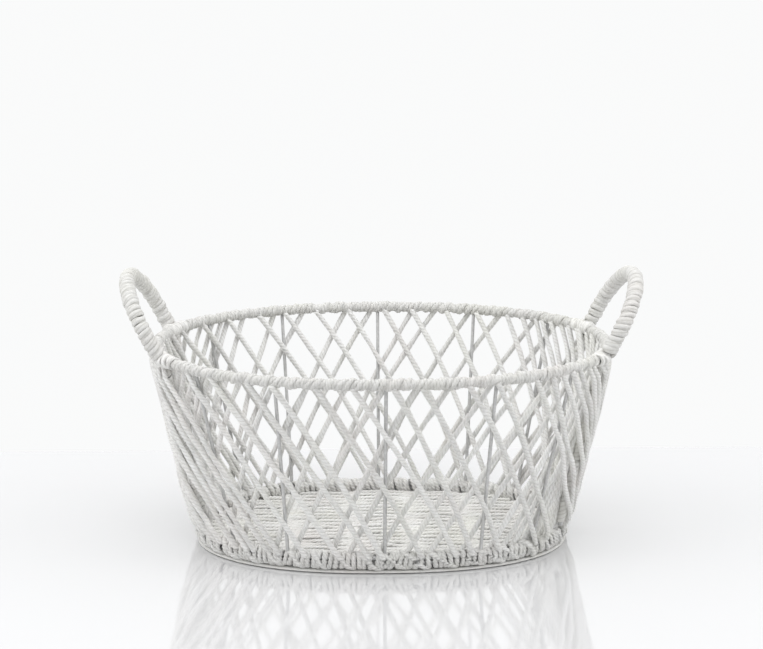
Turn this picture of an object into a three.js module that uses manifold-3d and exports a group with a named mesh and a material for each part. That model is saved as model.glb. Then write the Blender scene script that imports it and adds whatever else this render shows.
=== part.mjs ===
// Oval rope basket on a wire frame, with a wrapped loop handle at each end.
// Millimetres, +Z up, +X along the oval. The origin is on the floor under the middle of the basket.
import * as THREE from "three";
import { ParametricGeometry } from "three/addons/geometries/ParametricGeometry.js";
import { mergeVertices } from "three/addons/utils/BufferGeometryUtils.js";
import Module from "manifold-3d";

// Driving dimensions.
const RIM = { halfLength: 180, halfWidth: 137, squareness: 2.15, height: 159.5 };
const BASE = { halfLength: 146.5, halfWidth: 97.5, squareness: 2.3, height: 9.75 };
const GAP = 0.3; // between pieces that touch on the real basket
const RING_WIRE_RADIUS = 2;
const BASE_WIRE_RADIUS = 1.75;
const THIN_WIRE_RADIUS = 1.4; // staves and base ribs
const ROPE_RADIUS = 2.25;

// Staves stand at these parts of a turn from the middle of a long side, mirrored to all four quarters.
const STAVE_TURNS_AT_RIM = [0, 0.083, 0.154, 0.25];
const STAVE_TURNS_AT_BASE = [0, 0.095, 0.154, 0.25];

// Side ropes: each layer has this many strands, laid in runs of neighbours joined end to end.
const STRANDS_PER_LAYER = 36;
const STRANDS_PER_RUN = 3;
const STRAND_ADVANCE = 3.3 / STRANDS_PER_LAYER; // part of a turn gained between rim and base
const STRAND_STEPS = 5;
const LAYER_GAP = 0.7; // leaves room for the straight stretches that a strand is made of
const LAYER_OFFSET = THIN_WIRE_RADIUS + ROPE_RADIUS + LAYER_GAP;
const PAIR_OFFSET = 0.1 / STRANDS_PER_LAYER; // between the tops of an outer and an inner strand

const END_BULGE = 3.3; // how much further out the outer layer runs over the handle legs
const BULGE_FULL = 0.07; // parts of a turn from the middle of an end where the bulge is whole
const BULGE_NONE = 0.105; // and where it has gone

const RIM_WRAP_RADIUS = 5;
const LASHING_STEPS = [12, 19, 44, 51]; // ring steps where the lashings start; each is one step long
const LASHING_WALL = 1.6; // rope outside a handle leg
const LASHING_HALF_HEIGHT = 4.2;
const BAND_SEAMS = [2, 34];
const SEAM_TRIM = 0.7; // left off each end of a wrapping
const BAND_WIRE_HEIGHTS = [7.8, 11.7];
const BAND_HALF_THICKNESS = 5.2;
const FOOT = { width: 6, height: 2.1 };

const RIB_COUNT = 5;
const RIB_PITCH = 48;
const MAT = { bottom: 2.6, top: 10.2 };

const HANDLE_ROD_RADIUS = 2;
const HANDLE_WRAP_RADIUS = 6.2;
const HANDLE_RISE = 61.5; // along the leaning plane, from the rim to the rod at the top of the loop
const HANDLE_ARCH_RISE = 40;
const HANDLE_LEAN = THREE.MathUtils.degToRad(28);
const HANDLE_WRAP_START = 9; // above the rim wire, along the leg
const LEG_OFFSET = 2.6; // of a leg that runs down between the two rope layers
const LEG_OFFSET_AT_RIM = 4.8;
const LEG_BEND_HEIGHT = 154;
const LEG_BOTTOM = 20;

const RING_STEPS = 64; // every hoop and wrapping has its sections at these parts of a turn
const WIRE_SIDES = 6;
const ROPE_SIDES = 6;

const wireWhite = new THREE.MeshStandardMaterial({ color: 0x9c9c9a, roughness: 0.45, metalness: 0.6 });
const ropeWhite = new THREE.MeshStandardMaterial({ color: 0xe9e8e4, roughness: 0.9, metalness: 0 });
const matWhite = new THREE.MeshStandardMaterial({ color: 0xe2e1dc, roughness: 0.95, metalness: 0 });

const UP = new THREE.Vector3(0, 0, 1);

// A superellipse at one height. It starts at the middle of the front (-Y) side and runs towards +X.
class Oval extends THREE.Curve {
  constructor({ halfLength, halfWidth, squareness, height }) {
    super();
    Object.assign(this, { halfLength, halfWidth, squareness, height });
    this.arcLengthDivisions = 720;
  }

  getPoint(t, target = new THREE.Vector3()) {
    const angle = 2 * Math.PI * t;
    const power = 2 / this.squareness;
    const along = Math.sign(Math.sin(angle)) * Math.abs(Math.sin(angle)) ** power;
    const across = -Math.sign(Math.cos(angle)) * Math.abs(Math.cos(angle)) ** power;
    return target.set(this.halfLength * along, this.halfWidth * across, this.height);
  }

  // The point at a part of a turn measured along the oval, which may pass 0 or 1.
  atTurn(turn) {
    return this.getPointAt(turn - Math.floor(turn));
  }

  // The level direction that points straight out of the oval.
  outwardAt(turn) {
    const step = 0.002;
    const along = this.atTurn(turn + step).sub(this.atTurn(turn - step));
    return new THREE.Vector3(along.y, -along.x, 0).normalize();
  }
}

const rimOval = new Oval(RIM);
const baseOval = new Oval(BASE);

// A point on the side of the basket, at a part of a turn and a height, moved out by offset.
function sidePoint(turn, height, offset = 0) {
  const share = (height - BASE.height) / (RIM.height - BASE.height);
  const point = baseOval.atTurn(turn).lerp(rimOval.atTurn(turn), share);
  const outward = baseOval.outwardAt(turn).lerp(rimOval.outwardAt(turn), share).normalize();
  return point.addScaledVector(outward, offset).setZ(height);
}

// A path of straight stretches with one section at each of its points.
class Polyline extends THREE.Curve {
  constructor(points, upright = false) {
    super();
    this.points = points;
    this.upright = upright;
  }

  getPoint(t, target = new THREE.Vector3()) {
    const last = this.points.length - 1;
    const place = Math.min(Math.max(t, 0), 1) * last;
    const index = Math.min(Math.floor(place), last - 1);
    return target.lerpVectors(this.points[index], this.points[index + 1], place - index);
  }

  getTangent(t, target = new THREE.Vector3()) {
    const last = this.points.length - 1;
    const index = Math.round(t * last);
    const before = this.points[Math.max(index - 1, 0)];
    const here = this.points[index];
    const after = this.points[Math.min(index + 1, last)];
    const arriving = here.clone().sub(before).normalize();
    const leaving = after.clone().sub(here).normalize();
    return target.copy(arriving).add(leaving).normalize();
  }

  getUtoTmapping(u) {
    return u;
  }

  // An upright path keeps its section's x level, pointing outwards, and its y pointing straight down.
  computeFrenetFrames(segments, closed) {
    const frames = super.computeFrenetFrames(segments, closed);
    if (this.upright) {
      frames.normals = frames.tangents.map((tangent) => tangent.clone().cross(UP).normalize());
      frames.binormals = frames.tangents.map((tangent, i) => tangent.clone().cross(frames.normals[i]));
    }
    return frames;
  }
}

function polygon(radius, sides, Kind = THREE.Shape) {
  const outline = new Kind();
  for (let i = 0; i < sides; i += 1) {
    const angle = (2 * Math.PI * (i + 0.5)) / sides;
    const [x, y] = [radius * Math.cos(angle), radius * Math.sin(angle)];
    if (i === 0) outline.moveTo(x, y);
    else outline.lineTo(x, y);
  }
  outline.closePath();
  return outline;
}

// A many-sided section with a hole through it, such as rope wrapped round a rod.
function hollow(outerRadius, innerRadius, sides) {
  const outline = polygon(outerRadius, sides);
  outline.holes.push(polygon(innerRadius, sides, THREE.Path));
  return outline;
}

function sweep(section, points, upright = false) {
  return new THREE.ExtrudeGeometry(section, {
    steps: points.length - 1,
    extrudePath: new Polyline(points, upright),
  });
}

// A closed hoop that follows an oval, with a section given as [outward, up] pairs.
function hoop(oval, section) {
  const corners = section.length;
  const place = (u, v, target) => {
    const turn = Math.round(u * RING_STEPS) / RING_STEPS;
    const [outward, up] = section[Math.round(v * corners) % corners];
    const centre = oval.atTurn(turn % 1);
    target.copy(centre.addScaledVector(oval.outwardAt(turn % 1), outward)).setZ(oval.height + up);
  };
  return new ParametricGeometry(place, RING_STEPS, corners);
}

function roundSection(radius, sides) {
  return Array.from({ length: sides }, (_, i) => {
    const angle = (2 * Math.PI * (i + 0.5)) / sides;
    return [radius * Math.cos(angle), radius * Math.sin(angle)];
  });
}

const wasm = await Module();
wasm.setup();

function toSolid(geometry) {
  const bare = geometry.index ? geometry.toNonIndexed() : geometry.clone();
  bare.deleteAttribute("normal");
  bare.deleteAttribute("uv");
  const merged = mergeVertices(bare, 1e-4);
  return new wasm.Manifold(
    new wasm.Mesh({
      numProp: 3,
      vertProperties: merged.attributes.position.array,
      triVerts: new Uint32Array(merged.index.array),
    }),
  );
}

function toGeometry(solid) {
  const mesh = solid.getMesh();
  const geometry = new THREE.BufferGeometry();
  geometry.setAttribute("position", new THREE.BufferAttribute(mesh.vertProperties, 3));
  geometry.setIndex(new THREE.BufferAttribute(mesh.triVerts, 1));
  geometry.computeVertexNormals();
  return geometry;
}

function cut(geometry, cutters) {
  let solid = toSolid(geometry);
  for (const cutter of cutters) solid = solid.subtract(toSolid(cutter));
  return toGeometry(solid);
}

const basket = new THREE.Group();

function add(name, geometry, material) {
  const mesh = new THREE.Mesh(geometry, material);
  mesh.name = name;
  basket.add(mesh);
}

const numbered = (name, index) => `${name}_${String(index + 1).padStart(2, "0")}`;

// The turns of all twelve staves, from the middle of the front round towards +X.
function allTurns([front, second, third, end]) {
  const quarter = [front, second, third, end];
  const half = [...quarter, 0.5 - third, 0.5 - second];
  return [...half, ...half.map((turn) => turn + 0.5)];
}

const staveTurnsAtRim = allTurns(STAVE_TURNS_AT_RIM);
const staveTurnsAtBase = allTurns(STAVE_TURNS_AT_BASE);

function stavePath(index, bottom, top) {
  const low = sidePoint(staveTurnsAtBase[index], BASE.height);
  const high = sidePoint(staveTurnsAtRim[index], RIM.height);
  return [bottom, top].map((height) => {
    const share = (height - BASE.height) / (RIM.height - BASE.height);
    return low.clone().lerp(high, share);
  });
}

function addStaves() {
  const bottom = BAND_WIRE_HEIGHTS[1] + BASE_WIRE_RADIUS + GAP;
  const top = RIM.height - RING_WIRE_RADIUS - GAP;
  for (let i = 0; i < staveTurnsAtRim.length; i += 1) {
    const section = polygon(THIN_WIRE_RADIUS, WIRE_SIDES);
    add(numbered("stave", i), sweep(section, stavePath(i, bottom, top)), wireWhite);
  }
}

// Holes that let the staves through a wrapping, each a little wider than the stave.
function staveHoles(bottom, top) {
  const section = polygon(THIN_WIRE_RADIUS + GAP, WIRE_SIDES);
  return staveTurnsAtRim.map((_, i) => sweep(section, stavePath(i, bottom, top)));
}

function addRings() {
  add("rim_wire", hoop(rimOval, roundSection(RING_WIRE_RADIUS, WIRE_SIDES)), wireWhite);
  const names = ["base_wire_lower", "base_wire_upper"];
  BAND_WIRE_HEIGHTS.forEach((height, i) => {
    const oval = new Oval({ ...BASE, height });
    add(names[i], hoop(oval, roundSection(BASE_WIRE_RADIUS, WIRE_SIDES)), wireWhite);
  });
}

// Points along an oval from one seam to the next, with a little left off each end.
function seamPath(oval, from, to) {
  const points = [];
  for (let step = from; step <= to; step += 1) points.push(oval.atTurn(step / RING_STEPS));
  const last = points.length - 1;
  const trim = (end, next) => end.addScaledVector(next.clone().sub(end).normalize(), SEAM_TRIM);
  trim(points[0], points[1]);
  trim(points[last], points[last - 1]);
  return points;
}

// A wrapping runs along the rim from each lashing to the next.
function addRimWraps() {
  const names = ["rim_wrap_right", "rim_wrap_back", "rim_wrap_left", "rim_wrap_front"];
  const section = hollow(RIM_WRAP_RADIUS, RING_WIRE_RADIUS + GAP, ROPE_SIDES);
  const holes = staveHoles(RIM.height - 2 * RIM_WRAP_RADIUS, RIM.height - RING_WIRE_RADIUS);
  const ends = [...LASHING_STEPS, LASHING_STEPS[0] + RING_STEPS];
  names.forEach((name, i) => {
    const wrap = sweep(section, seamPath(rimOval, ends[i] + 1, ends[i + 1]), true);
    add(name, cut(wrap, holes), ropeWhite);
  });
}

// A rectangle with cut corners, from left to right and from -halfHeight to halfHeight.
function chamferedBox(left, right, halfHeight, chamfer, Kind) {
  const outline = new Kind();
  outline.moveTo(right, -halfHeight + chamfer);
  outline.lineTo(right, halfHeight - chamfer);
  outline.lineTo(right - chamfer, halfHeight);
  outline.lineTo(left + chamfer, halfHeight);
  outline.lineTo(left, halfHeight - chamfer);
  outline.lineTo(left, -halfHeight + chamfer);
  outline.lineTo(left + chamfer, -halfHeight);
  outline.lineTo(right - chamfer, -halfHeight);
  outline.closePath();
  return outline;
}

// The base band is rope wrapped round both base wires, so its section is a tall ring.
function bandSection(halfThickness, Kind) {
  const halfHeight = (BAND_WIRE_HEIGHTS[1] - BAND_WIRE_HEIGHTS[0]) / 2 + halfThickness;
  return chamferedBox(-halfThickness, halfThickness, halfHeight, 0.45 * halfThickness, Kind);
}

function addBaseBand() {
  const section = bandSection(BAND_HALF_THICKNESS, THREE.Shape);
  section.holes.push(bandSection(BASE_WIRE_RADIUS + GAP, THREE.Path));
  const middle = (BAND_WIRE_HEIGHTS[0] + BAND_WIRE_HEIGHTS[1]) / 2;
  const oval = new Oval({ ...BASE, height: middle });
  const holes = staveHoles(BAND_WIRE_HEIGHTS[1] + BASE_WIRE_RADIUS, 2 * BASE.height);
  const names = ["base_band_right", "base_band_left"];
  BAND_SEAMS.forEach((from, i) => {
    const band = sweep(section, seamPath(oval, from, from + RING_STEPS / 2), true);
    add(names[i], cut(band, holes), ropeWhite);
  });
}

function addFoot() {
  const middle = FOOT.height / 2;
  const half = FOOT.width / 2;
  const oval = new Oval({ ...BASE, height: middle });
  const section = [
    [half, -middle],
    [half, middle],
    [-half, middle],
    [-half, -middle],
  ];
  add("foot_strip", hoop(oval, section), ropeWhite);
}

// Share of the end bulge at a part of a turn: 1 over an end of the basket, 0 along its long sides.
function bulgeShare(turn) {
  const fromEnd = Math.abs(((turn + 1) % 0.5) - 0.25);
  return 1 - THREE.MathUtils.smoothstep(fromEnd, BULGE_FULL, BULGE_NONE);
}

// One run of neighbouring strands: down the side, a step along the base, up again, a step along the rim.
// direction is 1 for the outer layer, whose strands gain turn on the way down, and -1 for the inner.
function strandRun(firstStrand, direction) {
  const top = RIM.height - RIM_WRAP_RADIUS - 1.45;
  const bottom = 18.9;
  const points = [];
  for (let i = 0; i < STRANDS_PER_RUN; i += 1) {
    const topTurn = (firstStrand + i) / STRANDS_PER_LAYER + direction * PAIR_OFFSET;
    for (let step = 0; step <= STRAND_STEPS; step += 1) {
      const down = (i % 2 === 0 ? step : STRAND_STEPS - step) / STRAND_STEPS;
      const turn = topTurn + direction * STRAND_ADVANCE * down;
      const bulge = direction === 1 ? END_BULGE * bulgeShare(turn) : 0;
      points.push(sidePoint(turn, top + (bottom - top) * down, direction * LAYER_OFFSET + bulge));
    }
  }
  return points;
}

function addSideRopes() {
  const section = polygon(ROPE_RADIUS, ROPE_SIDES);
  const layers = [
    ["outer_ropes", 1],
    ["inner_ropes", -1],
  ];
  for (const [name, direction] of layers) {
    for (let run = 0; run < STRANDS_PER_LAYER / STRANDS_PER_RUN; run += 1) {
      const points = strandRun(run * STRANDS_PER_RUN, direction);
      add(numbered(name, run), sweep(section, points), ropeWhite);
    }
  }
}

// The woven base mat lies inside the band, with a channel for each rib wire.
function addMatAndRibs() {
  const inset = BAND_HALF_THICKNESS + GAP;
  const oval = new Oval({ ...BASE, height: 0 });
  const outline = Array.from({ length: RING_STEPS }, (_, i) => {
    const turn = i / RING_STEPS;
    const edge = oval.atTurn(turn).addScaledVector(oval.outwardAt(turn), -inset);
    return new THREE.Vector2(edge.x, edge.y);
  });
  const slab = new THREE.ExtrudeGeometry(new THREE.Shape(outline), {
    depth: MAT.top - MAT.bottom,
    bevelEnabled: false,
  });
  slab.translate(0, 0, MAT.bottom);

  const height = (MAT.bottom + MAT.top) / 2;
  const ribs = Array.from({ length: RIB_COUNT }, (_, i) => {
    const x = (i - (RIB_COUNT - 1) / 2) * RIB_PITCH;
    const share = 1 - Math.abs(x / (BASE.halfLength - inset)) ** BASE.squareness;
    const reach = (BASE.halfWidth - inset) * share ** (1 / BASE.squareness) - 2;
    return [x, reach];
  });
  const along = (x, reach) => [new THREE.Vector3(x, -reach, height), new THREE.Vector3(x, reach, height)];
  const channel = polygon(THIN_WIRE_RADIUS + GAP, WIRE_SIDES);
  const channels = ribs.map(([x]) => sweep(channel, along(x, BASE.halfWidth)));
  add("base_mat", cut(slab, channels), matWhite);
  ribs.forEach(([x, reach], i) => {
    add(numbered("base_rib", i), sweep(polygon(THIN_WIRE_RADIUS, WIRE_SIDES), along(x, reach)), wireWhite);
  });
}

// The part of a turn at which the leg that a lashing holds runs down the side.
const legTurn = (lashing) => (LASHING_STEPS[lashing] + 0.5) / RING_STEPS;

// A leg's middle line, from its foot between the rope layers up to where it passes the rim.
function legPath(lashing) {
  const turn = legTurn(lashing);
  return [
    sidePoint(turn, LEG_BOTTOM, LEG_OFFSET),
    sidePoint(turn, LEG_BEND_HEIGHT, LEG_OFFSET),
    sidePoint(turn, RIM.height, LEG_OFFSET_AT_RIM),
  ];
}

// The loop above the rim, from one leg over the arch to the other, in a plane that leans outwards.
// Lashings 0 and 1 hold the right handle, 2 and 3 the left one.
function loopPath(firstLashing, legStart) {
  const rimPoint = legPath(firstLashing)[2];
  const side = Math.sign(rimPoint.x);
  const halfWidth = Math.abs(rimPoint.y);
  const place = (across, rise) =>
    new THREE.Vector3(
      rimPoint.x + side * rise * Math.sin(HANDLE_LEAN),
      side * across,
      RIM.height + rise * Math.cos(HANDLE_LEAN),
    );
  const straight = HANDLE_RISE - HANDLE_ARCH_RISE;
  const archSteps = 12;
  const points = [place(-halfWidth, legStart)];
  for (let i = 0; i <= archSteps; i += 1) {
    const angle = (Math.PI * i) / archSteps;
    points.push(place(-halfWidth * Math.cos(angle), straight + HANDLE_ARCH_RISE * Math.sin(angle)));
  }
  points.push(place(halfWidth, legStart));
  return points;
}

function addHandles() {
  for (const [name, lashing] of [
    ["right", 0],
    ["left", 2],
  ]) {
    const loop = loopPath(lashing, 0).slice(1, -1);
    const rod = [...legPath(lashing), ...loop, ...legPath(lashing + 1).reverse()];
    add(`handle_rod_${name}`, sweep(polygon(HANDLE_ROD_RADIUS, 8), rod), wireWhite);
    const wrap = hollow(HANDLE_WRAP_RADIUS, HANDLE_ROD_RADIUS + GAP, 8);
    add(`handle_wrap_${name}`, sweep(wrap, loopPath(lashing, HANDLE_WRAP_START)), ropeWhite);
  }
}

// Each lashing is rope wound round the rim wire and a handle leg together.
function addLashings() {
  const names = ["right_front", "right_back", "left_back", "left_front"];
  const outside = LEG_OFFSET_AT_RIM + HANDLE_ROD_RADIUS + LASHING_WALL;
  const corner = LASHING_HALF_HEIGHT / 2;
  const section = chamferedBox(-RIM_WRAP_RADIUS, outside, LASHING_HALF_HEIGHT, corner, THREE.Shape);
  section.holes.push(polygon(RING_WIRE_RADIUS + GAP, WIRE_SIDES, THREE.Path));
  names.forEach((name, i) => {
    const first = LASHING_STEPS[i];
    const block = sweep(section, seamPath(rimOval, first, first + 1), true);
    const isSecond = i % 2 === 1;
    const loop = loopPath(isSecond ? i - 1 : i, 0);
    const aboveRim = isSecond ? loop[loop.length - 2] : loop[1];
    const hole = sweep(polygon(HANDLE_ROD_RADIUS + GAP, 8), [...legPath(i), aboveRim]);
    add(`lashing_${name}`, cut(block, [hole]), ropeWhite);
  });
}

addRings();
addStaves();
addRimWraps();
addBaseBand();
addFoot();
addSideRopes();
addMatAndRibs();
addHandles();
addLashings();

export default basket;
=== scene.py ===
"""Oval rope basket: twisted paper rope laced over a wire frame, with a wrapped loop handle at each end.

Metres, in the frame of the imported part: +Z up, +X along the oval, -Y towards the viewer.
"""

import math

import bpy
import numpy as np
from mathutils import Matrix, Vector


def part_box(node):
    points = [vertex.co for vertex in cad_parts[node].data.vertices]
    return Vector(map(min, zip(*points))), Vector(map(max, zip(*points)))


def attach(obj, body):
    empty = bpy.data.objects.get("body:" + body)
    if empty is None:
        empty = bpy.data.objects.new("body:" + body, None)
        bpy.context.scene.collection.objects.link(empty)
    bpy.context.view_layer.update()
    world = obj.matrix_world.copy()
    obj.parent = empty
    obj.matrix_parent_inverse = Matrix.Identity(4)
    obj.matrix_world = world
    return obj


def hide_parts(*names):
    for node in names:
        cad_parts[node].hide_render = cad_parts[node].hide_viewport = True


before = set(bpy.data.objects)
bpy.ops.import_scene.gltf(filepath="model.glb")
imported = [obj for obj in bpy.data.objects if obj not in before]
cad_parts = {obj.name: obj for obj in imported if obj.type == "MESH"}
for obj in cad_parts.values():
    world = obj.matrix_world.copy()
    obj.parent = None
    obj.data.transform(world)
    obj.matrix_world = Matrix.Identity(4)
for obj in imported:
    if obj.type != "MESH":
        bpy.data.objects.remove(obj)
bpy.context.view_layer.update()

MM = 0.001
rng = np.random.default_rng(7)

# The basket's shape, read from the frame.
rim_low, rim_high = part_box("rim_wire")
base_low, base_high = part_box("base_wire_lower")
upper_low, upper_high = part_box("base_wire_upper")
RIM_WIRE_RADIUS = (rim_high.z - rim_low.z) / 2
RIM_Z = (rim_high.z + rim_low.z) / 2
RIM_HALF_LENGTH = rim_high.x - RIM_WIRE_RADIUS
RIM_HALF_WIDTH = rim_high.y - RIM_WIRE_RADIUS
RIM_SQUARENESS = 2.15
BASE_WIRE_RADIUS = (base_high.z - base_low.z) / 2
LOWER_WIRE_Z = (base_high.z + base_low.z) / 2
UPPER_WIRE_Z = (upper_high.z + upper_low.z) / 2
BASE_Z = (LOWER_WIRE_Z + UPPER_WIRE_Z) / 2
BASE_HALF_LENGTH = base_high.x - BASE_WIRE_RADIUS
BASE_HALF_WIDTH = base_high.y - BASE_WIRE_RADIUS
BASE_SQUARENESS = 2.3

THIN_WIRE_RADIUS = 1.4 * MM
ROPE_RADIUS = 2.3 * MM
STRANDS = 36  # in each of the two layers
RUN = 3  # strands in each of the CAD's rope nodes
ADVANCE = 3.3 / STRANDS  # how far round a strand goes on its way down, in turns
PAIR_OFFSET = 0.1 / STRANDS  # how far the outer layer is shifted round at the rim, and the inner one back
OUTER_PAIRING = 0.1  # how far outer strands lean towards a neighbour at the rim, in strand spacings
SLIP_AT_RIM = 0.06  # how unevenly the strands are spaced, in strand spacings
SLIP_AT_BASE = 0.2
STRAND_TOP_Z = RIM_Z - 1.5 * MM
STRAND_BOTTOM_Z = BASE_Z + 2 * MM
LAYER_OFFSET = 2.5 * MM  # from the middle of the side to the middle of a strand
STAVE_LIFT = 1.3 * MM  # how much further out a strand runs where it crosses a stave
# The staves from the middle of the front to the middle of the right end, in turns.
STAVE_TURNS_AT_RIM = [0, 0.083, 0.154, 0.25]
STAVE_TURNS_AT_BASE = [0, 0.095, 0.154, 0.25]

# Places round the basket where wrappings end, in steps from the middle of the front.
RING_STEPS = 64
LASHING_STEPS = [12, 19, 44, 51]
LASHING_NAMES = ["right_front", "right_back", "left_back", "left_front"]
LEG_TURNS = [(step + 0.5) / RING_STEPS for step in LASHING_STEPS]
BAND_SEAM_STEPS = {"right": (2, 34), "left": (34, 66)}

# Over an end of the basket, the outer ropes stand out, and a little further where they cross a handle leg.
END_BULGE = 3.3 * MM
LEG_LIFT = 2.2 * MM
# The bulge is full and fades to nothing this far from the middle of an end, in parts of a turn.
BULGE_FULL = 0.07
BULGE_NONE = 0.105
# Within these parts of a turn from the middle of an end, more strands lie between the regular ones.
DENSEST_ZONE = 0.078
DENSER_ZONE = 0.092

# Each wrapping is a flattened rope. outer is how far it reaches from the line that it is wound round.
RIM_WRAP = {"outer": 4.9 * MM, "thick": 3.1 * MM, "wide": 4.4 * MM, "pitch": 4.0 * MM, "starts": 3}
RIM_CORE_RADIUS = 3.4 * MM
HANDLE_WRAP = {"outer": 6.4 * MM, "thick": 4.0 * MM, "wide": 6.0 * MM, "pitch": 4.9 * MM}
LEG_WRAP = {"outer": 3.8 * MM, "thick": 1.8 * MM, "wide": 5.4 * MM, "pitch": 4.4 * MM}
LASHING_WRAP = {"thick": 3.0 * MM, "wide": 5.2 * MM, "pitch": 4.0 * MM}
LASHING_LENGTH = 25 * MM
BAND_WRAP = {"outer": 5.3 * MM, "thick": 3.2 * MM, "wide": 5.0 * MM}
BAND_LAYERS = [
    {"pitch": 4.4 * MM, "raised": 0, "lean": 1.0 * MM, "uneven": 1.6 * MM, "tint": 0.3},
    {"pitch": 19 * MM, "raised": 0.7 * MM, "lean": -3.5 * MM, "uneven": 2.5 * MM, "tint": 0.5},
]
FOOT = {"wide": 7.6 * MM, "high": 2.4 * MM}

MAT_ROW_PITCH = 4.2 * MM
MAT_ROPE_RADIUS = 2.4 * MM
MAT_WEAVE = 1.1 * MM  # how far a row runs over and under the ribs
SHORTEST_MAT_ROW = 30 * MM
RIB_COUNT = 5
RIB_PITCH = 48 * MM

HANDLE_ROD_RADIUS = 2 * MM
HANDLE_RISE = 61.5 * MM
HANDLE_ARCH_RISE = 40 * MM
HANDLE_LEAN = math.radians(28)
LOOP_WRAP_START = 4.5 * MM  # above the rim's middle
LEG_OFFSET = 2.6 * MM
LEG_OFFSET_AT_RIM = 4.8 * MM
LEG_BEND_Z = 154 * MM
LEG_BOTTOM_Z = 20 * MM

# Light from the room, level with the table and straight above it.
ROOM_LOW = 0.58
ROOM_HIGH = 1.2
ROOM_COLOUR = (0.98, 0.985, 1, 1)
BACKDROP_COLOUR = (0.965, 0.97, 0.97, 1)
BACKDROP = 0.99
# Each softbox: where it stands, what it points at, its size and its power in watts.
SOFTBOXES = {
    "high_softbox": ((0.0, -0.35, 2.0), (0, 0, 0.05), (1.2, 0.9), 6),
    "left_softbox": ((-1.5, -0.4, 1.3), (0.1, 0, 0.1), (1.5, 1.5), 12),
    "right_softbox": ((1.5, -0.4, 1.3), (-0.1, 0, 0.1), (1.5, 1.5), 10),
}

# The table top is polished, so that the basket is mirrored in it.
TABLE_COLOUR = (0.705, 0.705, 0.71, 1)
TABLE_ROUGHNESS = 0.06
TABLE_IOR = 4.2
TABLE_LENGTH = 8
TABLE_WIDTH = 6
TABLE_BACK_EDGE = 0.245
TABLE_DROP = 0.3 * MM  # so that the foot doesn't share a plane with the table

CAMERA_DISTANCE = 1.596
CAMERA_HEIGHT = 0.534
CAMERA_AZIMUTH = math.radians(-1.44)
CAMERA_TARGET = (0, 0, 0.1745)
CAMERA_LENS = 96.5


# Smooth curves and small irregularities

def wander(count, size, every):
    """A smooth random line of count values, near size high, with a bend about every so many values."""
    knots = max(int(count / every) + 3, 4)
    heights = rng.normal(0, size, knots)
    place = np.linspace(1, knots - 2, count)
    index = np.clip(place.astype(int), 1, knots - 3)
    t = place - index
    a, b, c, d = (heights[index + k] for k in (-1, 0, 1, 2))
    return b + 0.5 * t * (c - a + t * (2 * a - 5 * b + 4 * c - d + t * (3 * (b - c) + d - a)))


def unit(vectors):
    return vectors / np.linalg.norm(vectors, axis=-1, keepdims=True)


class Oval:
    """A superellipse measured in parts of a turn along its length, from the middle of the front side."""

    def __init__(self, half_length, half_width, squareness):
        samples = 2881
        angle = np.linspace(0, 2 * np.pi, samples)
        sine, cosine = np.sin(angle), np.cos(angle)
        power = 2 / squareness
        x = half_length * np.sign(sine) * np.abs(sine) ** power
        y = -half_width * np.sign(cosine) * np.abs(cosine) ** power
        self.points = np.column_stack([x, y])
        steps = np.hypot(*np.diff(self.points, axis=0).T)
        self.travel = np.concatenate([[0], np.cumsum(steps)])
        self.length = self.travel[-1]

    def at(self, turns):
        place = np.mod(turns, 1) * self.length
        return np.stack([np.interp(place, self.travel, self.points[:, k]) for k in (0, 1)], axis=-1)

    def outward(self, turns):
        step = 0.003
        along = self.at(np.asarray(turns) + step) - self.at(np.asarray(turns) - step)
        return unit(np.stack([along[..., 1], -along[..., 0]], axis=-1))


rim_oval = Oval(RIM_HALF_LENGTH, RIM_HALF_WIDTH, RIM_SQUARENESS)
base_oval = Oval(BASE_HALF_LENGTH, BASE_HALF_WIDTH, BASE_SQUARENESS)


def side(turns, heights):
    """Points on the side of the basket, and the level directions straight out of it."""
    share = ((heights - BASE_Z) / (RIM_Z - BASE_Z))[..., None]
    level = base_oval.at(turns) * (1 - share) + rim_oval.at(turns) * share
    out = unit(base_oval.outward(turns) * (1 - share) + rim_oval.outward(turns) * share)
    points = np.concatenate([level, heights[..., None]], axis=-1)
    outward = np.concatenate([out, np.zeros_like(out[..., :1])], axis=-1)
    return points, outward


# Rope and wire meshes

def rope_section(plies, depth):
    """The corners of a rope's section: their angles, and how far out they are as parts of its radius.
    There is a crease between neighbouring plies. A section with no plies is plain and round."""
    corners = plies * 4 if plies else 10
    angle = 2 * np.pi * np.arange(corners) / corners
    if not plies:
        return angle, np.ones(corners)
    bulge = np.abs(np.sin(angle * plies / 2)) ** 0.7
    return angle, 1 - depth + depth * bulge


def ring_quads(gaps, count, corners):
    """The faces in the gaps between count rings of corners. With as many gaps as rings, the last ring is
    joined to the first."""
    i = np.arange(gaps)[:, None]
    j = np.arange(corners)[None, :]
    following = (i + 1) % count
    quads = np.stack(
        [i * corners + j, i * corners + (j + 1) % corners,
         following * corners + (j + 1) % corners, following * corners + j],
        axis=-1,
    )
    return quads.reshape(-1, 4)


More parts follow.
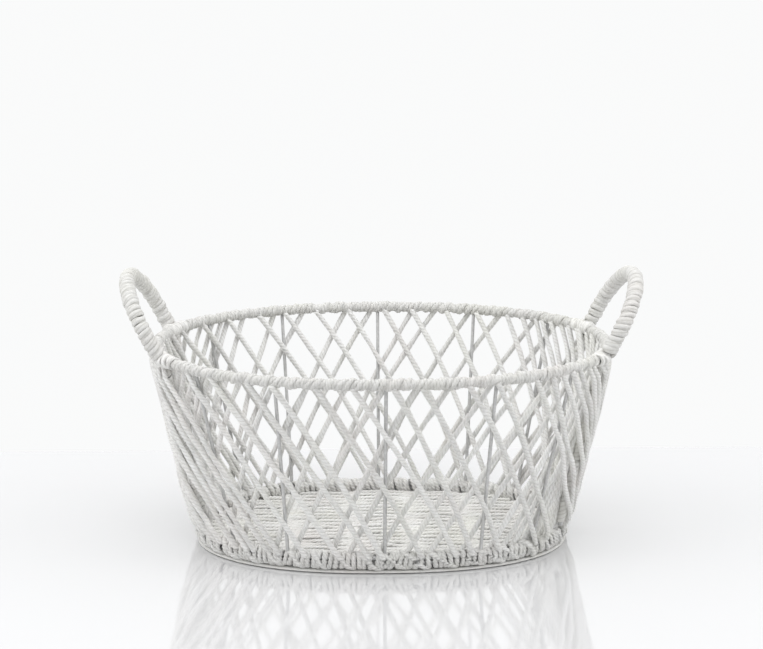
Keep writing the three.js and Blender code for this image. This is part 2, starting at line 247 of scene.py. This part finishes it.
class Tubes:
    """Collects swept tubes, each a closed body, and makes one mesh object of them."""

    def __init__(self):
        self.points, self.faces, self.coords, self.creases, self.tones_and_painted_shades = [], [], [], [], []
        self.count = 0

    def add(self, path, reference, radius, flat=1.0, plies=3, depth=0.22, lay=11 * MM, tint=0.5,
            closed=False):
        """Sweeps a rope along path. reference points away from what the rope lies on. radius is half its
        width across reference, and flat times that is half its thickness. lay is the length of one turn of
        the plies, and depth says how deep the creases between them are, as a part of the radius. The tone
        value is the rope's tone, from 0 for grey to 1 for white. It differs at random between some ropes,
        and is set low on others as painted shade."""
        path = np.asarray(path, float)
        count = len(path)
        if closed:
            tangent = unit(np.roll(path, -1, axis=0) - np.roll(path, 1, axis=0))
        else:
            tangent = unit(np.gradient(path, axis=0))
        up = unit(reference - tangent * np.sum(reference * tangent, axis=1, keepdims=True))
        across = np.cross(tangent, up)
        travel = np.concatenate([[0], np.cumsum(np.linalg.norm(np.diff(path, axis=0), axis=1))])

        angle, reach = rope_section(plies, depth)
        corners = len(angle)
        start = rng.uniform(0, 2 * np.pi)
        twist = 2 * np.pi * travel / lay if plies else np.zeros(count)
        turn = angle[None, :] + (start + twist)[:, None]
        radius = np.broadcast_to(radius, count)[:, None]
        wide = radius * reach[None, :] * np.cos(turn)
        thick = radius * flat * reach[None, :] * np.sin(turn)
        ring = path[:, None, :] + across[:, None, :] * wide[..., None] + up[:, None, :] * thick[..., None]
        self.points.append(ring.reshape(-1, 3))

        quads = ring_quads(count if closed else count - 1, count, corners)
        self.faces += (quads + self.count).tolist()
        if not closed:
            first_ring = list(range(self.count, self.count + corners))
            last_ring = [corner + (count - 1) * corners for corner in first_ring]
            self.faces.append(first_ring[::-1])
            self.faces.append(last_ring)

        along = np.broadcast_to(travel[:, None], (count, corners))
        around = np.broadcast_to(np.minimum(angle, 2 * np.pi - angle)[None, :], (count, corners))
        self.coords.append(np.stack([along, around * radius], axis=-1).reshape(-1, 2))
        # 0 in a crease between plies and 1 on a ply's crown, and 1 all round for a plain rope. The
        # material darkens the rope towards the creases with it, as painted shade.
        rise = (reach - reach.min()) / np.ptp(reach) if plies else reach
        self.creases.append(np.tile(rise, count))
        self.tones_and_painted_shades.append(np.full(count * corners, tint))
        self.count += count * corners

    def make(self, name, material):
        mesh = bpy.data.meshes.new(name)
        mesh.from_pydata(np.concatenate(self.points).tolist(), [], self.faces)
        place = mesh.attributes.new("rope_place", "FLOAT_VECTOR", "POINT")
        values = np.column_stack([np.concatenate(self.coords), np.concatenate(self.creases)])
        place.data.foreach_set("vector", values.astype(np.float32).ravel())
        shade = mesh.attributes.new("tint", "FLOAT", "POINT")
        shade.data.foreach_set("value", np.concatenate(self.tones_and_painted_shades).astype(np.float32))
        mesh.shade_smooth()
        mesh.materials.append(material)
        piece = bpy.data.objects.new(name, mesh)
        bpy.context.scene.collection.objects.link(piece)
        return piece


def place_piece(piece, slot, *nodes):
    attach(piece, "root")
    if nodes:
        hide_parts(*nodes)


# Materials

def new_material(name):
    material = bpy.data.materials.new(name)
    material.use_nodes = True
    nodes = material.node_tree.nodes
    nodes.clear()
    output = nodes.new("ShaderNodeOutputMaterial")
    shader = nodes.new("ShaderNodeBsdfPrincipled")
    material.node_tree.links.new(shader.outputs["BSDF"], output.inputs["Surface"])
    return material, shader


def noise(tree, vector, scale, detail, roughness):
    node = tree.nodes.new("ShaderNodeTexNoise")
    node.inputs["Scale"].default_value = scale
    node.inputs["Detail"].default_value = detail
    node.inputs["Roughness"].default_value = roughness
    tree.links.new(vector, node.inputs["Vector"])
    return node.outputs["Fac"]


def ramp(tree, value, stops):
    node = tree.nodes.new("ShaderNodeValToRGB")
    tree.links.new(value, node.inputs["Fac"])
    elements = node.color_ramp.elements
    while len(elements) < len(stops):
        elements.new(0.5)
    for element, (place, colour) in zip(elements, stops):
        element.position = place
        element.color = (*colour, 1)
    return node.outputs["Color"]


def multiply(tree, first, second):
    node = tree.nodes.new("ShaderNodeMix")
    node.data_type = "RGBA"
    node.blend_type = "MULTIPLY"
    node.inputs["Factor"].default_value = 1.0
    tree.links.new(first, node.inputs["A"])
    tree.links.new(second, node.inputs["B"])
    return node.outputs["Result"]


def attribute(tree, name):
    node = tree.nodes.new("ShaderNodeAttribute")
    node.attribute_name = name
    return node


def set_roughness(tree, shader, value, low, high):
    node = tree.nodes.new("ShaderNodeMapRange")
    node.inputs["To Min"].default_value = low
    node.inputs["To Max"].default_value = high
    tree.links.new(value, node.inputs["Value"])
    tree.links.new(node.outputs["Result"], shader.inputs["Roughness"])


def set_bump(tree, shader, height, strength, distance):
    node = tree.nodes.new("ShaderNodeBump")
    node.inputs["Strength"].default_value = strength
    node.inputs["Distance"].default_value = distance
    tree.links.new(height, node.inputs["Height"])
    tree.links.new(node.outputs["Normal"], shader.inputs["Normal"])


def paper_rope(name, light, dark):
    """Matt twisted paper: fine fibres along the plies, a mottled tone and a slightly different tone for
    each strand, with painted shade in the creases between plies and on ropes that are given a low tone."""
    material, shader = new_material(name)
    tree = material.node_tree
    place = attribute(tree, "rope_place")
    tint = attribute(tree, "tint")
    world = tree.nodes.new("ShaderNodeTexCoord")
    stretch = tree.nodes.new("ShaderNodeMapping")
    stretch.inputs["Scale"].default_value = (200, 2600, 0)
    tree.links.new(place.outputs["Vector"], stretch.inputs["Vector"])
    parts = tree.nodes.new("ShaderNodeSeparateXYZ")
    tree.links.new(place.outputs["Vector"], parts.inputs["Vector"])
    fibres = noise(tree, stretch.outputs["Vector"], 1.0, 4.0, 0.65)
    mottle = noise(tree, world.outputs["Object"], 260, 4.0, 0.65)
    patches = noise(tree, world.outputs["Object"], 22, 2.0, 0.5)

    white = (1, 1, 1)
    shades = [
        (mottle, [(0.35, (0.93, 0.927, 0.915)), (0.6, white)]),
        (patches, [(0.34, (1, 0.985, 0.98)), (0.5, white), (0.68, (0.99, 0.99, 0.965))]),
        # A low rope tone is painted shade on some ropes. On the others the tone varies at random.
        (tint.outputs["Fac"], [(0, (0.80, 0.797, 0.785)), (0.5, (0.94, 0.938, 0.93)), (1, white)]),
        # Painted shade: darker towards the creases between plies.
        (parts.outputs["Z"], [(0, (0.78, 0.775, 0.76)), (0.4, (0.97, 0.97, 0.965)), (0.8, white)]),
    ]
    colour = ramp(tree, fibres, [(0.3, dark), (0.62, light)])
    for value, stops in shades:
        colour = multiply(tree, colour, ramp(tree, value, stops))
    tree.links.new(colour, shader.inputs["Base Color"])

    set_roughness(tree, shader, fibres, 0.78, 0.95)
    shader.inputs["Specular IOR Level"].default_value = 0.25
    height = tree.nodes.new("ShaderNodeMath")
    height.operation = "ADD"
    tree.links.new(fibres, height.inputs[0])
    tree.links.new(mottle, height.inputs[1])
    set_bump(tree, shader, height.outputs[0], 0.8, 0.35 * MM)
    return material


def coated_wire():
    """Steel wire under a thin pale grey coat that is a little uneven and dull."""
    material, shader = new_material("coated_wire")
    tree = material.node_tree
    world = tree.nodes.new("ShaderNodeTexCoord")
    specks = noise(tree, world.outputs["Object"], 420, 3.0, 0.6)
    drift = noise(tree, world.outputs["Object"], 35, 2.0, 0.5)
    tone = ramp(tree, specks, [(0.35, (0.48, 0.48, 0.48)), (0.65, (0.60, 0.60, 0.595))])
    dull = ramp(tree, drift, [(0.3, (0.86, 0.86, 0.85)), (0.7, (1, 1, 1))])
    tree.links.new(multiply(tree, tone, dull), shader.inputs["Base Color"])
    set_roughness(tree, shader, specks, 0.32, 0.52)
    shader.inputs["Metallic"].default_value = 0.35
    set_bump(tree, shader, specks, 0.15, 0.1 * MM)
    return material


rope_material = paper_rope("paper_rope", (0.94, 0.939, 0.93), (0.80, 0.798, 0.785))
mat_material = paper_rope("mat_paper_rope", (0.96, 0.957, 0.945), (0.84, 0.835, 0.82))
wire_material = coated_wire()


# Wire frame

def stave_turns(quarter):
    """The places of all the staves, from those in a quarter of the basket."""
    front, second, third, end = quarter
    half = [front, second, third, end, 0.5 - third, 0.5 - second]
    return half + [turn + 0.5 for turn in half]


staves_at_rim = np.array(stave_turns(STAVE_TURNS_AT_RIM))
staves_at_base = np.array(stave_turns(STAVE_TURNS_AT_BASE))


def straight(start, end, count):
    return start + (end - start) * np.linspace(0, 1, count)[:, None]


def upward(count):
    return np.tile([0.0, 0.0, 1.0], (count, 1))


def coat_hoops():
    """The rim and base wires keep their CAD meshes."""
    for name in ("rim_wire", "base_wire_lower", "base_wire_upper"):
        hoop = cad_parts[name]
        hoop.data.materials.clear()
        hoop.data.materials.append(wire_material)


def make_staves():
    for i in range(len(staves_at_rim)):
        low, _ = side(staves_at_base[i], np.array(BASE_Z))
        high, out = side(staves_at_rim[i], np.array(RIM_Z))
        top = high - unit(high - low) * RIM_WIRE_RADIUS
        path = straight(low, top, 24)
        tubes = Tubes()
        tubes.add(path, np.tile(out, (len(path), 1)), THIN_WIRE_RADIUS, plies=0)
        place_piece(tubes.make(f"stave_wire_{i + 1:02d}", wire_material), "wire", f"stave_{i + 1:02d}")


def make_ribs():
    for i in range(RIB_COUNT):
        node = f"base_rib_{i + 1:02d}"
        low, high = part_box(node)
        x, z = (low.x + high.x) / 2, (low.z + high.z) / 2
        path = straight(np.array([x, low.y, z]), np.array([x, high.y, z]), 24)
        tubes = Tubes()
        tubes.add(path, upward(len(path)), THIN_WIRE_RADIUS, plies=0)
        place_piece(tubes.make(f"rib_wire_{i + 1:02d}", wire_material), "wire", node)


# Side ropes

def nearness(turns, heights, lines, width):
    """1 where a strand crosses one of the lines up the side, falling to 0 about width away from it."""
    share = (heights - BASE_Z) / (RIM_Z - BASE_Z)
    apart = np.abs((turns - lines(share) + 0.5) % 1 - 0.5).min(axis=0)
    reach = apart * (base_oval.length * (1 - share) + rim_oval.length * share)
    return np.exp(-((reach / width) ** 2))


def stave_lines(share):
    return staves_at_base[:, None] * (1 - share) + staves_at_rim[:, None] * share


def leg_lines(share):
    """The handle legs keep to one part of a turn all the way down."""
    return np.array(LEG_TURNS)[:, None] + 0 * share


def turns_from_end(turns):
    """How far it is to the middle of the nearer end of the basket, in parts of a turn."""
    return np.abs((turns + 1) % 0.5 - 0.25)


def bulge_share(turns):
    """1 over an end of the basket, where the outer ropes cross the handle legs, and 0 along its sides."""
    from_end = turns_from_end(turns)
    t = np.clip((from_end - BULGE_FULL) / (BULGE_NONE - BULGE_FULL), 0, 1)
    return 1 - t * t * (3 - 2 * t)


def strand(index, direction):
    """The middle line of one side strand, from inside the rim wrapping to inside the base band, and the
    directions away from the side. direction is 1 in the outer layer and -1 in the inner one. An index
    between two whole ones gives a strand between theirs."""
    count = 96
    down = np.linspace(0, 1, count)
    heights = STRAND_TOP_Z + (STRAND_BOTTOM_Z - STRAND_TOP_Z) * down
    slip_top = rng.normal(0, SLIP_AT_RIM) / STRANDS
    slip_bottom = rng.normal(0, SLIP_AT_BASE) / STRANDS
    if direction == 1:
        slip_top += OUTER_PAIRING / STRANDS * (1 if index % 2 < 1 else -1)
    start = index / STRANDS + direction * PAIR_OFFSET + slip_top
    turns = start + (direction * ADVANCE + slip_bottom) * down
    crowding = bulge_share(turns)
    wobble = (1 + 5 * crowding) * np.sin(np.pi * down)
    turns = turns + wander(count, 0.02 / STRANDS, 18) * wobble
    points, outward = side(turns, heights)
    over_stave = nearness(turns, heights, stave_lines, 8 * MM)
    unevenness = wander(count, 0.15 * MM, 12) * (1 + 3 * crowding)
    offset = LAYER_OFFSET + STAVE_LIFT * over_stave + unevenness
    if direction == 1:
        tuck = np.clip(np.minimum(down, 1 - down) * 12, 0, 1)
        over_leg = nearness(turns, heights, leg_lines, 9 * MM)
        offset = offset + crowding * tuck * (END_BULGE + LEG_LIFT * over_leg)
    return points + outward * (direction * offset)[:, None], outward * direction


def strands_in_run(run, direction):
    """A run's strands, with more in the spaces between them where the run passes an end of the basket."""
    strands = []
    for index in range(run * RUN, run * RUN + RUN):
        halfway_down = (index + 0.5) / STRANDS + direction * ADVANCE / 2
        from_end = turns_from_end(halfway_down)
        shares = 3 if from_end < DENSEST_ZONE else 2 if from_end < DENSER_ZONE else 1
        strands += [index + share / shares for share in range(shares)]
    return strands


def make_side_ropes():
    for layer, direction in (("outer", 1), ("inner", -1)):
        for run in range(STRANDS // RUN):
            tubes = Tubes()
            for index in strands_in_run(run, direction):
                path, outward = strand(index, direction)
                radius = ROPE_RADIUS * (1 + wander(len(path), 0.06, 5))
                lay = rng.uniform(9, 13) * MM
                tint = rng.uniform(0.5, 1)
                tubes.add(path, outward, radius, flat=0.92, lay=lay, depth=0.15, tint=tint)
            piece = tubes.make(f"{layer}_rope_strands_{run + 1:02d}", rope_material)
            place_piece(piece, "rope", f"{layer}_ropes_{run + 1:02d}")


# Wrappings

def wound(centre, along, outward, angle, reach_out, reach_down, slide):
    """A rope wound round a line: its middle line, and the directions away from the line it is wound round.
    reach_out and reach_down are how far it goes along outward and square to it, and slide moves each point
    along the line."""
    down = np.cross(along, outward)
    radial = outward * (reach_out * np.cos(angle))[:, None] + down * (reach_down * np.sin(angle))[:, None]
    return centre + radial + along * slide[:, None], unit(radial)


def level_line(oval, turns, height):
    """Points round an oval at one height, with the directions along it and out of it."""
    level, out = oval.at(turns), oval.outward(turns)
    count = len(turns)
    centre = np.column_stack([level, np.full(count, height)])
    along = np.column_stack([-out[:, 1], out[:, 0], np.zeros(count)])
    return centre, along, np.column_stack([out, np.zeros(count)])


def flatness(wrap):
    return wrap["thick"] / wrap["wide"]


def make_rim_wraps():
    """Three ropes side by side are wound together round each stretch of the rim wire, over a plain layer.
    One of them lies deeper than the others and is painted darker, as shade."""
    per_turn = 18
    overlap = 3 * MM
    starts = RIM_WRAP["starts"]
    middle_reach = RIM_WRAP["outer"] - RIM_WRAP["thick"] / 2
    ends = LASHING_STEPS + [LASHING_STEPS[0] + RING_STEPS]
    for i, name in enumerate(("right", "back", "left", "front")):
        first = (ends[i] + 1) / RING_STEPS - overlap / rim_oval.length
        last = ends[i + 1] / RING_STEPS + overlap / rim_oval.length
        winds = (last - first) * rim_oval.length / (RIM_WRAP["pitch"] * starts)
        count = round(winds * per_turn) + 1
        angle = -2 * np.pi * winds * np.linspace(0, 1, count)
        centre, along, outward = level_line(rim_oval, np.linspace(first, last, count), RIM_Z)
        sway = wander(count, 1.1 * MM, per_turn)
        tubes = Tubes()
        # The plain layer and the deeper rope get the lowest tone, and the other ropes a low one: painted
        # shade.
        tubes.add(centre, outward, RIM_CORE_RADIUS, plies=0, tint=0)
        for start in range(starts):
            sunk = 0.7 * MM if start == 0 else 0
            tint = 0 if start == 0 else 0.2
            reach = middle_reach - sunk + wander(count, 0.35 * MM, per_turn * 0.6)
            slide = sway + wander(count, 0.6 * MM, per_turn * 0.7)
            start_angle = 2 * np.pi * start / starts
            path, away = wound(centre, along, outward, angle + start_angle, reach, reach, slide)
            radius = RIM_WRAP["wide"] / 2 * (1 + wander(count, 0.12, per_turn * 0.4))
            lay = rng.uniform(10, 13) * MM
            tubes.add(path, away, radius, flat=flatness(RIM_WRAP), lay=lay, depth=0.2, tint=tint)
        place_piece(tubes.make(f"rim_winding_{name}", rope_material), "rope", f"rim_wrap_{name}")


def make_lashings():
    """Rope wound round the rim wire and a handle leg together, closing in on the rim wrapping at both
    ends."""
    per_turn = 20
    rope_out = HANDLE_ROD_RADIUS + LASHING_WRAP["thick"] / 2
    room_below = 0.7 * MM
    winds = round(LASHING_LENGTH / LASHING_WRAP["pitch"])
    count = winds * per_turn + 1
    progress = np.linspace(-1, 1, count)
    angle = np.pi * winds * progress
    half_apart = LEG_OFFSET_AT_RIM / 2 * np.cos(np.pi / 2 * progress) ** 0.7
    for turn, name in zip(LEG_TURNS, LASHING_NAMES):
        turns = turn + progress * LASHING_LENGTH / 2 / rim_oval.length
        centre, along, outward = level_line(rim_oval, turns, RIM_Z)
        centre = centre + outward * half_apart[:, None]
        reach_out = half_apart + rope_out + wander(count, 0.3 * MM, per_turn * 0.6)
        reach_down = rope_out + room_below + wander(count, 0.3 * MM, per_turn * 0.6)
        slide = wander(count, 0.6 * MM, per_turn * 0.7)
        path, away = wound(centre, along, outward, angle, reach_out, reach_down, slide)
        tubes = Tubes()
        radius = LASHING_WRAP["wide"] / 2
        tubes.add(path, away, radius, flat=flatness(LASHING_WRAP), lay=50 * MM, depth=0.24, tint=0.5)
        place_piece(tubes.make(f"lashing_rope_{name}", rope_material), "rope", f"lashing_{name}")


def add_band_layer(tubes, first, last, layer):
    """Winds one rope round both base wires from one part of a turn to another."""
    per_turn = 20
    half_gap = (UPPER_WIRE_Z - LOWER_WIRE_Z) / 2
    middle_reach = BAND_WRAP["outer"] - BAND_WRAP["thick"] / 2 + layer["raised"]
    winds = round((last - first) * base_oval.length / layer["pitch"])
    count = winds * per_turn + 1
    progress = np.linspace(0, 1, count)
    sway = wander(count, 1.1 * MM, per_turn * 1.2) * np.sin(np.pi * progress) ** 0.3
    turns = first + (last - first) * progress + sway / base_oval.length
    centre, along, outward = level_line(base_oval, turns, BASE_Z)
    angle = 2 * np.pi * winds * progress
    reach = middle_reach + wander(count, 0.3 * MM, per_turn * 0.7)
    lean = layer["lean"] + wander(count, layer["uneven"], per_turn * 2.5)
    path, away = wound(centre, along, outward, angle, reach, reach, -lean * np.sin(angle))
    path[:, 2] -= half_gap * np.sin(angle) / np.sqrt(np.sin(angle) ** 2 + 0.1)
    radius = BAND_WRAP["wide"] / 2 * (1 + wander(count, 0.1, per_turn * 0.4))
    tubes.add(path, away, radius, flat=flatness(BAND_WRAP), lay=9 * MM, depth=0.2, tint=layer["tint"])


def make_base_band():
    """Rope wound round both base wires in uneven loops, and a second rope that crosses over it here and
    there."""
    for name, (first, last) in BAND_SEAM_STEPS.items():
        tubes = Tubes()
        for layer in BAND_LAYERS:
            add_band_layer(tubes, first / RING_STEPS, last / RING_STEPS, layer)
        place_piece(tubes.make(f"base_band_winding_{name}", rope_material), "rope", f"base_band_{name}")


def make_foot():
    """A flattened rope under the base band, given the lowest tone as painted shade under the band."""
    count = 520
    centre, _, _ = level_line(base_oval, np.arange(count) / count, FOOT["high"] / 2)
    flat = FOOT["high"] / FOOT["wide"]
    tubes = Tubes()
    tubes.add(centre, upward(count), FOOT["wide"] / 2, flat=flat, plies=0, tint=0, closed=True)
    place_piece(tubes.make("foot_rope", rope_material), "rope", "foot_strip")


# Base mat

def make_mat():
    """Rows of rope, each woven over and under the ribs the other way round from its neighbours."""
    low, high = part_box("base_mat")
    middle = (low.z + high.z) / 2
    half_length, half_width = high.x, high.y
    rows = int(half_width / MAT_ROW_PITCH)
    tubes = Tubes()
    for row in range(-rows, rows + 1):
        y = row * MAT_ROW_PITCH
        share = max(1 - abs(y / half_width) ** BASE_SQUARENESS, 0) ** (1 / BASE_SQUARENESS)
        reach = half_length * share
        if 2 * reach < SHORTEST_MAT_ROW:
            continue
        count = int(2 * reach / (2.2 * MM)) + 2
        x = np.linspace(-reach, reach, count)
        weave = MAT_WEAVE if row % 2 else -MAT_WEAVE
        z = middle + weave * np.cos(np.pi * x / RIB_PITCH) + wander(count, 0.2 * MM, 6)
        path = np.column_stack([x, y + wander(count, 0.45 * MM, 9), z])
        radius = MAT_ROPE_RADIUS * (1 + wander(count, 0.05, 4))
        lay = rng.uniform(10, 13) * MM
        tint = rng.uniform(0.2, 1)
        tubes.add(path, upward(count), radius, flat=0.72, lay=lay, tint=tint)
    place_piece(tubes.make("woven_mat", mat_material), "mat_rope", "base_mat")


# Handles

def evenly(corners, count):
    """Points evenly spaced along a line through the corners, with its bends rounded a little."""
    travel = np.concatenate([[0], np.cumsum(np.linalg.norm(np.diff(corners, axis=0), axis=1))])
    stops = np.linspace(0, travel[-1], count)
    line = np.stack([np.interp(stops, travel, corners[:, k]) for k in range(3)], axis=-1)
    spacing = travel[-1] / (count - 1)
    for _ in range(int((4 * MM / spacing) ** 2) + 1):
        line[1:-1] = (line[:-2] + 2 * line[1:-1] + line[2:]) / 4
    return line


def length_of(points):
    return np.linalg.norm(np.diff(points, axis=0), axis=1).sum()


def leg_corners(turn):
    """A handle leg, from its foot between the rope layers up to where it passes the rim."""
    bends = [(LEG_BOTTOM_Z, LEG_OFFSET), (LEG_BEND_Z, LEG_OFFSET), (RIM_Z, LEG_OFFSET_AT_RIM)]
    corners = []
    for height, offset in bends:
        point, outward = side(np.array(turn), np.array(height))
        corners.append(point + outward * offset)
    return np.array(corners)


def loop_corners(turn, start):
    """A handle's loop, from start above the rim on the leg at a turn, over the arch and down again."""
    rim_point = leg_corners(turn)[-1]
    sign = np.sign(rim_point[0])
    half_width = abs(rim_point[1])
    straight_rise = HANDLE_RISE - HANDLE_ARCH_RISE
    arch = np.linspace(0, math.pi, 49)
    across = np.concatenate([[-half_width], -half_width * np.cos(arch), [half_width]])
    rise = np.concatenate([[start], straight_rise + HANDLE_ARCH_RISE * np.sin(arch), [start]])
    x = rim_point[0] + sign * rise * math.sin(HANDLE_LEAN)
    z = RIM_Z + rise * math.cos(HANDLE_LEAN)
    return np.column_stack([x, sign * across, z])


def wind_on(tubes, corners, wrap, normal, sway):
    """Winds one rope closely along a line. normal is any direction that the line never follows."""
    per_turn = 18
    winds = round(length_of(corners) / wrap["pitch"])
    count = winds * per_turn + 1
    centre = evenly(corners, count)
    along = unit(np.gradient(centre, axis=0))
    outward = unit(normal - along * np.sum(normal * along, axis=1, keepdims=True))
    angle = 2 * np.pi * winds * np.linspace(0, 1, count)
    reach = wrap["outer"] - wrap["thick"] / 2 + wander(count, 0.25 * MM, per_turn * 0.7)
    slide = wander(count, sway, per_turn * 1.4)
    slant = 0.4 * MM + wander(count, 0.6 * MM, per_turn * 3)
    slide = slide + slant * np.cos(angle)
    path, away = wound(centre, along, outward, angle, reach, reach, slide)
    radius = wrap["wide"] / 2 * (1 + wander(count, 0.08, per_turn * 0.5))
    # The wound ropes get the lowest tone, painted shade that darkens the handle and leg windings.
    tubes.add(path, away, radius, flat=flatness(wrap), lay=60 * MM, depth=0.22, tint=0)


def make_handles():
    for name, first in (("right", 0), ("left", 2)):
        legs = [leg_corners(LEG_TURNS[first]), leg_corners(LEG_TURNS[first + 1])]
        sign = np.sign(legs[0][0, 0])
        normal = np.array([sign * math.cos(HANDLE_LEAN), 0, -math.sin(HANDLE_LEAN)])
        loop = loop_corners(LEG_TURNS[first], 0)
        rod = evenly(np.concatenate([legs[0], loop[1:-1], legs[1][::-1]]), 220)
        tubes = Tubes()
        tubes.add(rod, np.tile(normal, (len(rod), 1)), HANDLE_ROD_RADIUS, plies=0)
        place_piece(tubes.make(f"handle_wire_{name}", wire_material), "wire", f"handle_rod_{name}")

        tubes = Tubes()
        wind_on(tubes, loop_corners(LEG_TURNS[first], LOOP_WRAP_START), HANDLE_WRAP, normal, 0.45 * MM)
        place_piece(tubes.make(f"handle_winding_{name}", rope_material), "rope", f"handle_wrap_{name}")

        for leg, corners in enumerate(legs):
            below_rim = corners[:2] + [0, 0, 2 * MM]
            tubes = Tubes()
            wind_on(tubes, below_rim, LEG_WRAP, normal, 0.6 * MM)
            place_piece(tubes.make(f"leg_winding_{LASHING_NAMES[first + leg]}", rope_material), "rope")


# The studio

def make_floor():
    bpy.ops.mesh.primitive_plane_add(size=1)
    floor = bpy.context.object
    floor.name = "table_top"
    floor.scale = (TABLE_LENGTH, TABLE_WIDTH, 1)
    floor.location = (0, TABLE_BACK_EDGE - TABLE_WIDTH / 2, -TABLE_DROP)
    material, shader = new_material("pale_table")
    shader.inputs["Base Color"].default_value = TABLE_COLOUR
    shader.inputs["Roughness"].default_value = TABLE_ROUGHNESS
    shader.inputs["IOR"].default_value = TABLE_IOR
    floor.data.materials.append(material)


def add_area(name, location, target, size, power):
    light = bpy.data.lights.new(name, "AREA")
    light.shape = "RECTANGLE"
    light.size, light.size_y = size
    light.energy = power
    lamp = bpy.data.objects.new(name, light)
    lamp.location = location
    lamp.rotation_euler = (Vector(target) - Vector(location)).to_track_quat("-Z", "Y").to_euler()
    bpy.context.scene.collection.objects.link(lamp)


def light_scene():
    """Light from the room, a plain backdrop for what the camera and reflections see, and the softboxes."""
    world = bpy.data.worlds.new("studio")
    bpy.context.scene.world = world
    world.use_nodes = True
    tree = world.node_tree
    tree.nodes.clear()
    output = tree.nodes.new("ShaderNodeOutputWorld")
    direction = tree.nodes.new("ShaderNodeTexCoord")
    axes = tree.nodes.new("ShaderNodeSeparateXYZ")
    tree.links.new(direction.outputs["Generated"], axes.inputs["Vector"])
    height = tree.nodes.new("ShaderNodeMapRange")
    height.inputs["To Min"].default_value = ROOM_LOW
    height.inputs["To Max"].default_value = ROOM_HIGH
    tree.links.new(axes.outputs["Z"], height.inputs["Value"])
    room = tree.nodes.new("ShaderNodeBackground")
    room.inputs["Color"].default_value = ROOM_COLOUR
    tree.links.new(height.outputs["Result"], room.inputs["Strength"])
    backdrop = tree.nodes.new("ShaderNodeBackground")
    backdrop.inputs["Color"].default_value = BACKDROP_COLOUR
    backdrop.inputs["Strength"].default_value = BACKDROP
    rays = tree.nodes.new("ShaderNodeLightPath")
    either = tree.nodes.new("ShaderNodeMath")
    either.operation = "MAXIMUM"
    tree.links.new(rays.outputs["Is Camera Ray"], either.inputs[0])
    tree.links.new(rays.outputs["Is Glossy Ray"], either.inputs[1])
    choice = tree.nodes.new("ShaderNodeMixShader")
    tree.links.new(either.outputs[0], choice.inputs["Fac"])
    tree.links.new(room.outputs[0], choice.inputs[1])
    tree.links.new(backdrop.outputs[0], choice.inputs[2])
    tree.links.new(choice.outputs[0], output.inputs["Surface"])
    for name, (location, target, size, power) in SOFTBOXES.items():
        add_area(name, location, target, size, power)


def make_camera():
    data = bpy.data.cameras.new("camera")
    data.sensor_width = 36
    data.lens = CAMERA_LENS
    camera = bpy.data.objects.new("camera", data)
    x = CAMERA_DISTANCE * math.sin(CAMERA_AZIMUTH)
    y = -CAMERA_DISTANCE * math.cos(CAMERA_AZIMUTH)
    camera.location = (x, y, CAMERA_HEIGHT)
    camera.rotation_euler = (Vector(CAMERA_TARGET) - camera.location).to_track_quat("-Z", "Y").to_euler()
    bpy.context.scene.collection.objects.link(camera)
    bpy.context.scene.camera = camera
    bpy.context.scene.view_settings.view_transform = "Standard"


make_camera()
light_scene()
make_floor()
coat_hoops()
make_staves()
make_ribs()
make_side_ropes()
make_rim_wraps()
make_lashings()
make_base_band()
make_foot()
make_mat()
make_handles()
